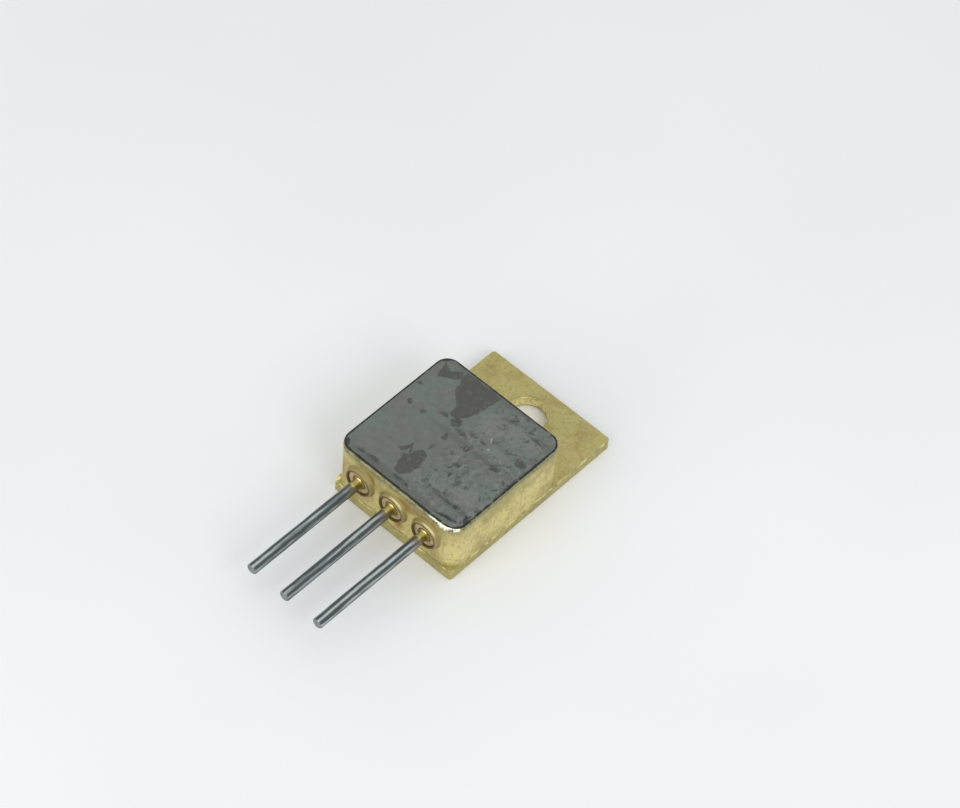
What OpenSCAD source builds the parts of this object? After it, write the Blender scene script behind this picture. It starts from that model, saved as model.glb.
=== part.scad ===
// Power transistor in a sealed metal flange package. A gold-plated base plate with a
// mounting hole in its tab carries a square frame under a grey lid, and three leads in
// a row come out through ceramic seals in the frame's front wall.
//
// The origin is on the mounting face, at the axis of the mounting hole. +Y runs from
// the leads to the tab, +X is to the right as seen from the leads, and +Z is up.

/* [Base plate] */
// Thickness of the base plate
base_t = 1.15; // [0.8:0.05:1.6]
// How far the base plate shows in front of the frame
front_reveal = 0.1; // [0.05:0.05:0.4]
// How far the base plate shows on each side of the frame
side_reveal = 0.05; // [0.05:0.05:0.4]
// Length of the mounting tab behind the frame
tab_len = 6.5; // [6:0.1:8]
// Corner radius of the base plate
base_corner_r = 0.35; // [0.2:0.05:1]
// Diameter of the mounting hole
hole_d = 3.66; // [3:0.02:4]
// Distance from the hole's axis to the tab's rear edge
hole_edge = 3.15; // [2.5:0.05:3.5]

/* [Frame] */
// Outer width of the frame, across the leads
frame_w = 13.7; // [13:0.1:16]
// Outer length of the frame, along the leads
frame_len = 13.7; // [13:0.1:16]
// Height of the frame's wall
frame_h = 5; // [4.5:0.1:6]
// Thickness of the frame's wall
wall_t = 1; // [0.8:0.05:1.2]
// Outer radius of the frame's upright corners
frame_corner_r = 1.5; // [1.2:0.1:2]

/* [Lid] */
// Thickness of the lid's edge
lid_t = 0.3; // [0.2:0.05:0.6]
// How far the lid's sides and rear edge lie inside the frame's
lid_inset = 0.05; // [0.05:0.05:0.2]
// How far the lid's front edge lies behind the frame's front
lid_front_inset = 0.15; // [0.05:0.05:0.3]
// Corner radius of the lid
lid_corner_r = 1.3; // [1:0.1:1.8]
// Depth of the step under the lid that locates it in the frame
step_depth = 0.25; // [0.1:0.05:0.5]
// Clearance between the lid's step and the frame's wall
step_gap = 0.2; // [0.15:0.05:0.3]
// Thickness of the solder that seals the lid to the frame
seal_t = 0.05; // [0.03:0.01:0.1]
// Width of the solder bead that shows round the lid
seal_bead = 0.03; // [0.01:0.01:0.04]

/* [Lead seals] */
// Distance between the axes of neighbouring leads
lead_pitch = 3.81; // [3.5:0.01:4]
// Height of the lead axes above the mounting face
lead_axis_h = 3.81; // [3.4:0.01:4.2]
// Outer diameter of a seal ring's lip
ring_d = 3.1; // [2.9:0.05:3.3]
// How far a seal ring's lip stands out of the frame
ring_proud = 0.45; // [0.3:0.05:0.6]
// Radius of the rounded edge of the lip
ring_lip_r = 0.2; // [0.1:0.05:0.25]
// Diameter of a seal ring inside the wall
barrel_d = 2.7; // [2.5:0.05:2.85]
// Diameter of a seal ring's bore, which holds the ceramic
ring_bore_d = 2.3; // [2:0.05:2.4]
// How far the ceramic lies below the ring's face
bush_recess = 0.2; // [0.05:0.05:0.25]
// How far the ceramic stands out of the wall's inner face
bush_inside = 0.3; // [0.1:0.05:0.5]
// Diameter of a lead's shank, which the ceramic holds
shank_d = 1.4; // [1.36:0.02:1.6]
// Length of the taper from the shank to the lead outside
taper_len = 0.35; // [0.25:0.05:0.45]
// Film of braze between the wall, the ring, the ceramic and the lead
braze_gap = 0.01; // [0.005:0.005:0.03]

/* [Leads] */
// Diameter of a lead with its solder coat
lead_d = 1.04; // [0.9:0.02:1.04]
// Length of the leads in front of the base plate
lead_len = 13; // [10:0.5:20]
// Chamfer at the leads' tips
tip_chamfer = 0.1; // [0.05:0.05:0.2]
// Length of a lead inside the frame, from the wall to the post's end
post_reach = 2.4; // [2.2:0.1:2.8]
// Length of the flattened post at the inner end
post_len = 1.5; // [1.4:0.1:1.6]
// Width of the flattened post
post_w = 1.6; // [1.5:0.1:1.8]
// Thickness of the flattened post
post_t = 0.5; // [0.4:0.05:0.7]

/* [Inside] */
// Distance from the frame's side walls to the ceramic isolator
isolator_side_gap = 0.65; // [0.3:0.05:1]
// Distance from the frame's front wall to the isolator
isolator_front_gap = 2.65; // [2.5:0.05:2.8]
// Distance from the frame's rear wall to the isolator
isolator_rear_gap = 0.85; // [0.5:0.05:1]
// Thickness of the ceramic isolator
isolator_t = 0.65; // [0.4:0.05:0.9]
// Border of the isolator round the metal pad
pad_border = 0.4; // [0.3:0.05:0.5]
// Thickness of the metal pad
pad_t = 0.4; // [0.3:0.05:0.6]
// Distance from the pad's sides to the silicon chip
chip_side_gap = 1.6; // [1.3:0.1:2]
// Distance from the pad's front edge to the chip
chip_front_gap = 1.6; // [1.4:0.1:2]
// Distance from the pad's rear edge to the chip
chip_rear_gap = 0.4; // [0.2:0.05:0.6]
// Thickness of the silicon chip
chip_t = 0.4; // [0.2:0.05:0.5]
// Thickness of the solder under the chip
chip_solder_t = 0.06; // [0.04:0.01:0.1]
// Border of solder round the chip
chip_solder_border = 0.1; // [0.05:0.05:0.15]
// Width of the strap from the first lead to the metal pad
strap_w = 1.3; // [1:0.1:1.5]
// Thickness of the strap
strap_t = 0.2; // [0.15:0.05:0.3]
// Length of each of the strap's feet
strap_foot = 0.8; // [0.6:0.1:0.9]
// Distance from the pad's front edge to the strap's lower foot
strap_edge_gap = 0.1; // [0.05:0.05:0.2]
// Diameter of a bond wire
wire_d = 0.3; // [0.2:0.02:0.34]
// Rise of a bond wire above the line between its ends
wire_rise = 0.9; // [0.7:0.1:1.1]
// Length of a bond wire's foot
foot_len = 0.7; // [0.6:0.05:0.8]
// Width of a bond wire's foot
foot_w = 0.38; // [0.36:0.02:0.42]
// Height of a bond wire's foot
foot_h = 0.3; // [0.25:0.05:0.4]
// Distance between the source wires on their post
wire_pitch = 0.5; // [0.46:0.02:0.55]
// Distance between the source wires on the chip
chip_wire_pitch = 1.3; // [1:0.1:1.6]
// Distance from the chip's front edge to the source wires' feet
source_bond_in = 1.6; // [1.2:0.1:2]
// Distance from the chip's edges to the gate wire's foot
gate_bond_in = 0.7; // [0.6:0.05:0.9]

/* [Hidden] */
$fn = 64;

// Overlap of cutting shapes past the faces that they cut
cut = 1;

// Number of the lead in the middle of the row, and of the middle source wire
middle = 2;

// Share of a foot's height over the wire's radius by which the wire's end is raised
wire_leave = 0.25;

// Places along Y
tab_rear_y = hole_edge;
frame_rear_y = tab_rear_y - tab_len;
frame_front_y = frame_rear_y - frame_len;
base_front_y = frame_front_y - front_reveal;
cavity_front_y = frame_front_y + wall_t;
cavity_rear_y = frame_rear_y - wall_t;
post_end_y = cavity_front_y + post_reach;
isolator_front_y = cavity_front_y + isolator_front_gap;
isolator_rear_y = cavity_rear_y - isolator_rear_gap;
pad_front_y = isolator_front_y + pad_border;
pad_rear_y = isolator_rear_y - pad_border;
chip_front_y = pad_front_y + chip_front_gap;
chip_rear_y = pad_rear_y - chip_rear_gap;

// Heights above the mounting face
frame_top_z = base_t + frame_h;
lid_z = frame_top_z + seal_t;
pad_z = base_t + isolator_t;
pad_top_z = pad_z + pad_t;
chip_z = pad_top_z + chip_solder_t;
chip_top_z = chip_z + chip_t;
post_top_z = lead_axis_h + post_t / 2;
post_under_z = lead_axis_h - post_t / 2;

// Widths and radii
base_w = frame_w + 2 * side_reveal;
cavity_w = frame_w - 2 * wall_t;
cavity_corner_r = max(frame_corner_r - wall_t, 0.1);
isolator_w = cavity_w - 2 * isolator_side_gap;
pad_w = isolator_w - 2 * pad_border;
chip_w = pad_w - 2 * chip_side_gap;
lead_r = lead_d / 2;
shank_r = shank_d / 2;

// Distances along a lead, outward from the frame's front face
bush_face = ring_proud - bush_recess;
taper_end = bush_face + taper_len;
lead_tip = lead_len + front_reveal;
post_tip = -(wall_t + post_reach);
post_root = post_tip + post_len;

// Plate colours, as the photograph shows them
gold = [0.67, 0.62, 0.4];
pale_gold = [0.78, 0.72, 0.46];
lid_grey = [0.43, 0.45, 0.43];
solder_grey = [0.55, 0.57, 0.57];
ceramic_pink = [0.72, 0.64, 0.56];

// Rectangle with round corners, from its left front corner at [x, y]
module round_rect(x, y, w, len, r) {
    translate([x + r, y]) square([w - 2 * r, len]);
    translate([x, y + r]) square([w, len - 2 * r]);
    for (cx = [x + r, x + w - r], cy = [y + r, y + len - r])
        translate([cx, cy]) circle(r = r);
}

// Outline between the frame's outer faces, drawn in by the given margins
module frame_outline(side, front, rear, r) {
    round_rect(-frame_w / 2 + side, frame_front_y + front,
        frame_w - 2 * side, frame_len - front - rear, r);
}

module cavity_outline(gap = 0) {
    frame_outline(wall_t + gap, wall_t + gap, wall_t + gap, cavity_corner_r);
}

// Places its children on a lead's axis, with Z pointing out of the frame's front face
module on_lead_axis(i) {
    translate([(i - middle) * lead_pitch, frame_front_y, lead_axis_h]) rotate([90, 0, 0]) children();
}

module base_plate() {
    color(gold) difference() {
        linear_extrude(base_t)
            round_rect(-base_w / 2, base_front_y, base_w, tab_rear_y - base_front_y, base_corner_r);
        translate([0, 0, -cut]) cylinder(d = hole_d, h = base_t + 2 * cut);
    }
}

module frame() {
    color(gold) difference() {
        translate([0, 0, base_t]) linear_extrude(frame_h)
            frame_outline(0, 0, 0, frame_corner_r);
        translate([0, 0, base_t - cut]) linear_extrude(frame_h + 2 * cut)
            cavity_outline();
        for (i = [1:3]) on_lead_axis(i)
            translate([0, 0, -wall_t - cut / 2])
            cylinder(d = barrel_d + 2 * braze_gap, h = wall_t + cut);
    }
}

module lid_seal() {
    color(pale_gold) translate([0, 0, frame_top_z]) linear_extrude(seal_t) difference() {
        frame_outline(lid_inset - seal_bead, lid_front_inset - seal_bead,
            lid_inset - seal_bead, lid_corner_r + seal_bead);
        cavity_outline();
    }
}

module lid() {
    color(lid_grey) {
        translate([0, 0, lid_z]) linear_extrude(lid_t)
            frame_outline(lid_inset, lid_front_inset, lid_inset, lid_corner_r);
        translate([0, 0, lid_z - step_depth]) linear_extrude(step_depth)
            cavity_outline(step_gap);
    }
}

// Metal eyelet in the frame's wall, with a rounded lip outside
module seal_ring(i) {
    bore_r = ring_bore_d / 2;
    flat_w = ring_d / 2 - ring_lip_r - bore_r;
    color(gold) on_lead_axis(i) rotate_extrude() {
        translate([bore_r, -wall_t]) square([(barrel_d - ring_bore_d) / 2, wall_t]);
        translate([bore_r, 0]) square([flat_w, ring_proud]);
        translate([bore_r, 0]) square([flat_w + ring_lip_r, ring_proud - ring_lip_r]);
        translate([bore_r + flat_w, ring_proud - ring_lip_r]) intersection() {
            circle(r = ring_lip_r);
            square(ring_lip_r);
        }
    }
}

// Ceramic that holds a lead in its ring
module ceramic_bush(i) {
    inner_r = shank_r + braze_gap;
    color(ceramic_pink) on_lead_axis(i) rotate_extrude()
        translate([inner_r, -wall_t - bush_inside])
        square([ring_bore_d / 2 - braze_gap - inner_r,
            wall_t + bush_inside + bush_face]);
}

// Lead with a flattened post inside, a thicker shank in the seal and a chamfered tip
module lead(i) {
    color(solder_grey) on_lead_axis(i) {
        translate([-post_w / 2, -post_t / 2, post_tip]) cube([post_w, post_t, post_len]);
        translate([0, 0, post_root]) cylinder(r = shank_r, h = bush_face - post_root);
        translate([0, 0, bush_face]) cylinder(r1 = shank_r, r2 = lead_r, h = taper_len);
        translate([0, 0, taper_end])
            cylinder(r = lead_r, h = lead_tip - tip_chamfer - taper_end);
        translate([0, 0, lead_tip - tip_chamfer])
            cylinder(r1 = lead_r, r2 = lead_r - tip_chamfer, h = tip_chamfer);
    }
}

module isolator() {
    color("white") translate([-isolator_w / 2, isolator_front_y, base_t])
        cube([isolator_w, isolator_rear_y - isolator_front_y, isolator_t]);
}

module die_pad() {
    color(pale_gold) translate([-pad_w / 2, pad_front_y, pad_z])
        cube([pad_w, pad_rear_y - pad_front_y, pad_t]);
}

module die_solder() {
    border = chip_solder_border;
    color(solder_grey) translate([-chip_w / 2 - border, chip_front_y - border, pad_top_z])
        cube([chip_w + 2 * border, chip_rear_y - chip_front_y + 2 * border, chip_solder_t]);
}

module die() {
    color("dimgray") translate([-chip_w / 2, chip_front_y, chip_z])
        cube([chip_w, chip_rear_y - chip_front_y, chip_t]);
}

// Bent strip from under the first lead's post down to the metal pad
module drain_strap() {
    foot_y = pad_front_y + strap_edge_gap;
    color(pale_gold) translate([-lead_pitch - strap_w / 2, 0, 0])
        rotate([90, 0, 90]) linear_extrude(strap_w) polygon([
            [post_end_y - strap_foot, post_under_z],
            [post_end_y - strap_foot, post_under_z - strap_t],
            [post_end_y, post_under_z - strap_t],
            [foot_y, pad_top_z],
            [foot_y + strap_foot, pad_top_z],
            [foot_y + strap_foot, pad_top_z + strap_t],
            [foot_y + strap_t, pad_top_z + strap_t],
            [post_end_y + strap_t, post_under_z]]);
}

// Wire that rises and falls in one arc between two flat feet, from a down to b
module bond_wire(a, b) {
    lift = wire_d / 2 + (foot_h - wire_d / 2) * wire_leave;
    run = norm([b.x - a.x, b.y - a.y]);
    drop = a.z - b.z;
    chord = norm([run, drop]);
    arc_r = (chord * chord / 4 + wire_rise * wire_rise) / (2 * wire_rise);
    half_angle = asin(chord / 2 / arc_r);
    tilt = atan2(drop, run);
    color("gainsboro") translate(a) rotate([0, 0, atan2(b.y - a.y, b.x - a.x)]) {
        bond_foot();
        translate([run, 0, -drop]) bond_foot();
        rotate([90, 0, 0])
            translate([run / 2 - (arc_r - wire_rise) * sin(tilt),
                lift - drop / 2 - (arc_r - wire_rise) * cos(tilt), 0])
            rotate([0, 0, 90 - tilt - half_angle])
            rotate_extrude(angle = 2 * half_angle) translate([arc_r, 0]) circle(d = wire_d);
    }
}

module bond_foot() {
    translate([-foot_len / 2, -foot_w / 2, 0]) cube([foot_len, foot_w, foot_h]);
}

module source_wire(i) {
    bond_wire([(i - middle) * wire_pitch, post_end_y - post_len / 2, post_top_z],
        [(i - middle) * chip_wire_pitch, chip_front_y + source_bond_in, chip_top_z]);
}

module gate_wire() {
    bond_wire([lead_pitch, post_end_y - post_len / 2, post_top_z],
        [chip_w / 2 - gate_bond_in, chip_front_y + gate_bond_in, chip_top_z]);
}

base_plate();
frame();
lid_seal();
lid();
seal_ring(1);  // seal_ring_1
seal_ring(2);  // seal_ring_2
seal_ring(3);  // seal_ring_3
ceramic_bush(1);  // ceramic_bush_1
ceramic_bush(2);  // ceramic_bush_2
ceramic_bush(3);  // ceramic_bush_3
lead(1);  // lead_1
lead(2);  // lead_2
lead(3);  // lead_3
isolator();
die_pad();
die_solder();
die();
drain_strap();
source_wire(1);  // source_wire_1
source_wire(2);  // source_wire_2
source_wire(3);  // source_wire_3
gate_wire();
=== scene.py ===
"""Power transistor in a sealed flange package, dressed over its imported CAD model.

The outside pieces are rebuilt with rounded edges, uneven solder and worn plate. The pieces
sealed inside keep their CAD meshes and get their own finishes. Lengths in the tables and in
the shaders are in millimetres, in the CAD frame.
"""

import math

import bmesh
import bpy
from mathutils import Matrix, Vector, noise


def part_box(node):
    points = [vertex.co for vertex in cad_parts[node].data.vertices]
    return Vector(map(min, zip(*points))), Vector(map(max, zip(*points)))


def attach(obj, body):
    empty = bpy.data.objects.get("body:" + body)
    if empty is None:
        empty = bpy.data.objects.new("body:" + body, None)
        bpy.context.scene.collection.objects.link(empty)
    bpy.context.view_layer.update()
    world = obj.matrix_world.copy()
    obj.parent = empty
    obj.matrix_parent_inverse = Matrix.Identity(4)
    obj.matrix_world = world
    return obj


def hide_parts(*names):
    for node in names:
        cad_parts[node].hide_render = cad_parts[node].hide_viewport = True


bl_info = {
    "name": "Flange power transistor",
    "version": (1, 0, 0),
    "blender": (4, 5, 0),
    "location": "View3D > Sidebar > Transistor",
    "description": "Builds the looks of a sealed flange power transistor over its CAD frame",
    "category": "Object",
}

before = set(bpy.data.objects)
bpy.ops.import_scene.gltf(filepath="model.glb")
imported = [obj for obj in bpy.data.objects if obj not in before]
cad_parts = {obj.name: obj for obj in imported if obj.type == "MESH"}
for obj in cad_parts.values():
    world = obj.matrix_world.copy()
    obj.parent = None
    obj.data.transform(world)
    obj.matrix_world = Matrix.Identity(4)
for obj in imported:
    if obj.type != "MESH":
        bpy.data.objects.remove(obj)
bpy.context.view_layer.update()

MM = 0.001
PER_METRE = 1000.0
LEADS = (1, 2, 3)


def node_box(name):
    """Lowest and highest corners of a CAD node, in millimetres."""
    low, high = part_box(name)
    return low * PER_METRE, high * PER_METRE


BASE_LOW, BASE_HIGH = node_box("base_plate")
FRAME_LOW, FRAME_HIGH = node_box("frame")
SEAL_LOW, SEAL_HIGH = node_box("lid_seal")
LID_LOW, LID_HIGH = node_box("lid")
RING_LOW, RING_HIGH = node_box("seal_ring_2")
BUSH_LOW, BUSH_HIGH = node_box("ceramic_bush_2")
LEAD_LOW, LEAD_HIGH = node_box("lead_2")
LEAD_PITCH = node_box("seal_ring_3")[0].x - RING_LOW.x
LEAD_AXIS_Z = (RING_LOW.z + RING_HIGH.z) / 2


def linear(red, green, blue):
    """Linear colour of a screen colour given from 0 to 255."""
    out = []
    for part in (red, green, blue):
        share = part / 255
        out.append(share / 12.92 if share <= 0.04045 else ((share + 0.055) / 1.055) ** 2.4)
    return tuple(out)


def length(name, description, millimetres):
    """Property for a length, with its default in millimetres."""
    return bpy.props.FloatProperty(
        name=name, description=description, default=millimetres * MM,
        min=0.0, precision=5, unit="LENGTH")


def colour(name, description, *screen):
    """Property for a colour, with its default as screen values from 0 to 255."""
    return bpy.props.FloatVectorProperty(
        name=name, description=description, default=linear(*screen),
        size=3, min=0.0, max=1.0, subtype="COLOR")


class PlateSettings(bpy.types.PropertyGroup):
    """Sizes and colours of the base plate and the frame."""

    base_corner: length("Base corners", "Corner radius of the base plate", 0.35)
    base_edge: length("Base edges", "Rounding of the base plate's edges", 0.07)
    hole_radius: length("Hole radius", "Radius of the mounting hole", 1.83)
    hole_edge: length("Hole edge", "Rounding of the mounting hole's edges", 0.08)
    frame_corner: length("Frame corners", "Outer radius of the frame's upright corners", 1.5)
    frame_edge: length("Frame edge", "Rounding of the frame's upper outer edge", 0.06)
    wall: length("Wall", "Thickness of the frame's wall", 1.0)
    eyelet_hole: length("Eyelet hole", "Radius of the holes for the eyelets", 1.36)
    tab_gold: colour("Tab gold", "Plate on the base", 178, 168, 106)
    wall_gold: colour("Wall gold", "Plate on the frame", 220, 206, 136)
    # Painted highlight on the base's top edges and front left corner, and painted light on the mounting
    # hole's wall
    gold_highlight: colour("Bright gold", "Clean gold on edges and in the hole", 240, 228, 168)
    pale_gold: colour("Pale gold", "Lighter patches of the plate", 182, 173, 122)
    olive_gold: colour("Olive gold", "Darker patches of the plate", 148, 137, 78)
    stain: colour("Stain", "Orange stain on the plate", 160, 120, 52)
    film: colour("Film", "Greenish film near the lid", 138, 137, 106)
    rim_brown: colour("Rim", "Line round the mounting hole", 106, 86, 44)


class LidSettings(bpy.types.PropertyGroup):
    """Sizes and colours of the lid and its solder bead."""

    corner: length("Corners", "Corner radius of the lid", 1.3)
    edge: length("Edge", "Rounding of the lid's upper edge", 0.06)
    bead_top: length("Bead top", "Height of the solder on the lid's edge", 0.2)
    grey: colour("Grey", "Greenish grey of the lid", 102, 111, 103)
    brown_grey: colour("Brown grey", "Brownish patches of the lid", 103, 104, 99)
    light_grey: colour("Light grey", "Rubbed patches of the lid", 123, 127, 123)
    blotch: colour("Blotch", "Dark blotches of the lid", 74, 74, 69)
    line: colour("Edge line", "Dark line along the lid's edge", 34, 38, 34)
    solder: colour("Solder", "Dull solder of the bead", 146, 142, 98)
    dull_solder: colour("Dull solder", "Dark places of the bead", 96, 92, 56)
    # Bright solder in fine spots, and a painted highlight at the lid's front right corner
    bright_solder_and_highlight: colour("Bright solder", "Bright solder at the front corner", 250, 246, 218)


class SealSettings(bpy.types.PropertyGroup):
    """Sizes and colours of the eyelets and their ceramic."""

    lip: length("Lip", "Radius of the rounded lip's section", 0.2)
    swell: length("Swell", "How far the ceramic swells out between its edges", 0.05)
    gold: colour("Gold", "Plate on the eyelets", 146, 135, 82)
    # Painted highlight on the crest of a lip
    lip_highlight: colour("Shine", "Bright crescent on a lip", 236, 226, 170)
    outside: colour("Outside", "Stained outer side of a lip", 148, 131, 76)
    # Painted shade on the lip's inner slope, where it dips in towards the ceramic
    groove_shade: colour("Groove", "Brown inner slope of the lip", 92, 76, 30)
    ceramic: colour("Ceramic", "Pinkish ceramic", 184, 162, 124)
    # Darker parts of the ceramic: in patches, and towards the ring and the lead
    ceramic_dark: colour("Ceramic shade", "Stained parts of the ceramic", 126, 104, 58)


class LeadSettings(bpy.types.PropertyGroup):
    """Sizes and colours of the leads."""

    radius: length("Radius", "Radius of a lead", 0.52)
    shank: length("Shank", "Radius of a lead inside the ceramic", 0.7)
    unevenness: length("Unevenness", "How much the solder coat varies", 0.022)
    tip: length("Tip", "Rounding of a lead's tip", 0.16)
    gold: colour("Gold", "Bare gold root of a lead", 236, 222, 140)
    deep_gold: colour("Deep gold", "Shaded gold at the root", 138, 120, 58)
    change: colour("Change", "Brownish solder next to the gold", 110, 104, 84)
    # Light and dark painted reflections in streaks along the solder; the dark one also colours fine
    # specks
    light: colour("Light", "Bright streaks of the solder", 166, 172, 172)
    dark: colour("Dark", "Dark streaks of the solder", 66, 74, 76)


class InsideSettings(bpy.types.PropertyGroup):
    """Colours of the pieces sealed inside."""

    isolator: colour("Isolator", "White ceramic plate", 236, 234, 228)
    pad: colour("Pad", "Gold plate of the pad and strap", 196, 176, 106)
    solder: colour("Solder", "Solder under the chip", 166, 168, 170)
    silicon: colour("Silicon", "Face of the chip", 84, 88, 100)
    cells: colour("Cells", "Metal over the chip's cells", 150, 152, 158)
    wire: colour("Wire", "Aluminium bond wires", 216, 218, 220)


class StageSettings(bpy.types.PropertyGroup):
    """Camera, floor and light."""

    azimuth: bpy.props.FloatProperty(
        name="Azimuth", description="Direction of the camera round the part",
        default=math.radians(38.365), subtype="ANGLE")
    elevation: bpy.props.FloatProperty(
        name="Elevation", description="Height of the camera above the horizon",
        default=math.radians(52.103), subtype="ANGLE")
    roll: bpy.props.FloatProperty(
        name="Roll", description="Turn of the camera about its view",
        default=math.radians(5.779), subtype="ANGLE")
    lens: bpy.props.FloatProperty(
        name="Lens", description="Focal length for a sensor 36 mm wide",
        default=132.2475, min=1.0, unit="CAMERA")
    floor: colour("Floor", "Pale floor", 252, 252, 252)
    glow: bpy.props.FloatProperty(
        name="White share", description="Share of plain white that the camera sees in the floor",
        default=0.4, min=0.0, max=1.0, subtype="FACTOR")


class Wire:
    """Output socket of a shader node. Sums on it add Math nodes to its material."""

    def __init__(self, finish, socket):
        self.finish = finish
        self.socket = socket

    def maths(self, operation, *values):
        settings = {"operation": operation}
        return self.finish.node("ShaderNodeMath", settings, dict(enumerate(values)))

    def __add__(self, other):
        return self.maths("ADD", self, other)

    def __sub__(self, other):
        return self.maths("SUBTRACT", self, other)

    def __rsub__(self, other):
        return self.maths("SUBTRACT", other, self)

    def __mul__(self, other):
        return self.maths("MULTIPLY", self, other)

    def __truediv__(self, other):
        return self.maths("DIVIDE", self, other)

    def __pow__(self, other):
        return self.maths("POWER", self, other)

    def __abs__(self):
        return self.maths("ABSOLUTE", self)

    __radd__ = __add__
    __rmul__ = __mul__

    def most(self, other):
        return self.maths("MAXIMUM", self, other)

    def least(self, other):
        return self.maths("MINIMUM", self, other)

    def output(self, name):
        """Another output of the same node."""
        return Wire(self.finish, self.socket.node.outputs[name])


class NodeTree:
    """Emptied node tree of a material or a world, filled through one method."""

    def __init__(self, tree):
        self.tree = tree
        self.tree.nodes.clear()

    def node(self, kind, settings, sockets, output=0):
        """Adds a node. Its settings come first, then its sockets get values or links."""
        made = self.tree.nodes.new(kind)
        for name, value in settings.items():
            if name == "stops":
                self.set_stops(made.color_ramp, value)
            else:
                setattr(made, name, value)
        for key, value in sockets.items():
            key = key.replace("_", " ") if isinstance(key, str) else key
            if isinstance(value, Wire):
                self.tree.links.new(value.socket, made.inputs[key])
            else:
                made.inputs[key].default_value = self.fitted(made.inputs[key], value)
        return None if output is None else Wire(self, made.outputs[output])

    @staticmethod
    def fitted(socket, value):
        """A colour of three parts gets the fourth that its socket holds."""
        if socket.type == "RGBA" and len(value) == 3:
            return (*value, 1.0)
        return value

    @staticmethod
    def set_stops(ramp, stops):
        while len(ramp.elements) < len(stops):
            ramp.elements.new(0.5)
        for element, (position, shade) in zip(ramp.elements, stops):
            element.position = position
            element.color = (*shade, 1.0)


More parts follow.
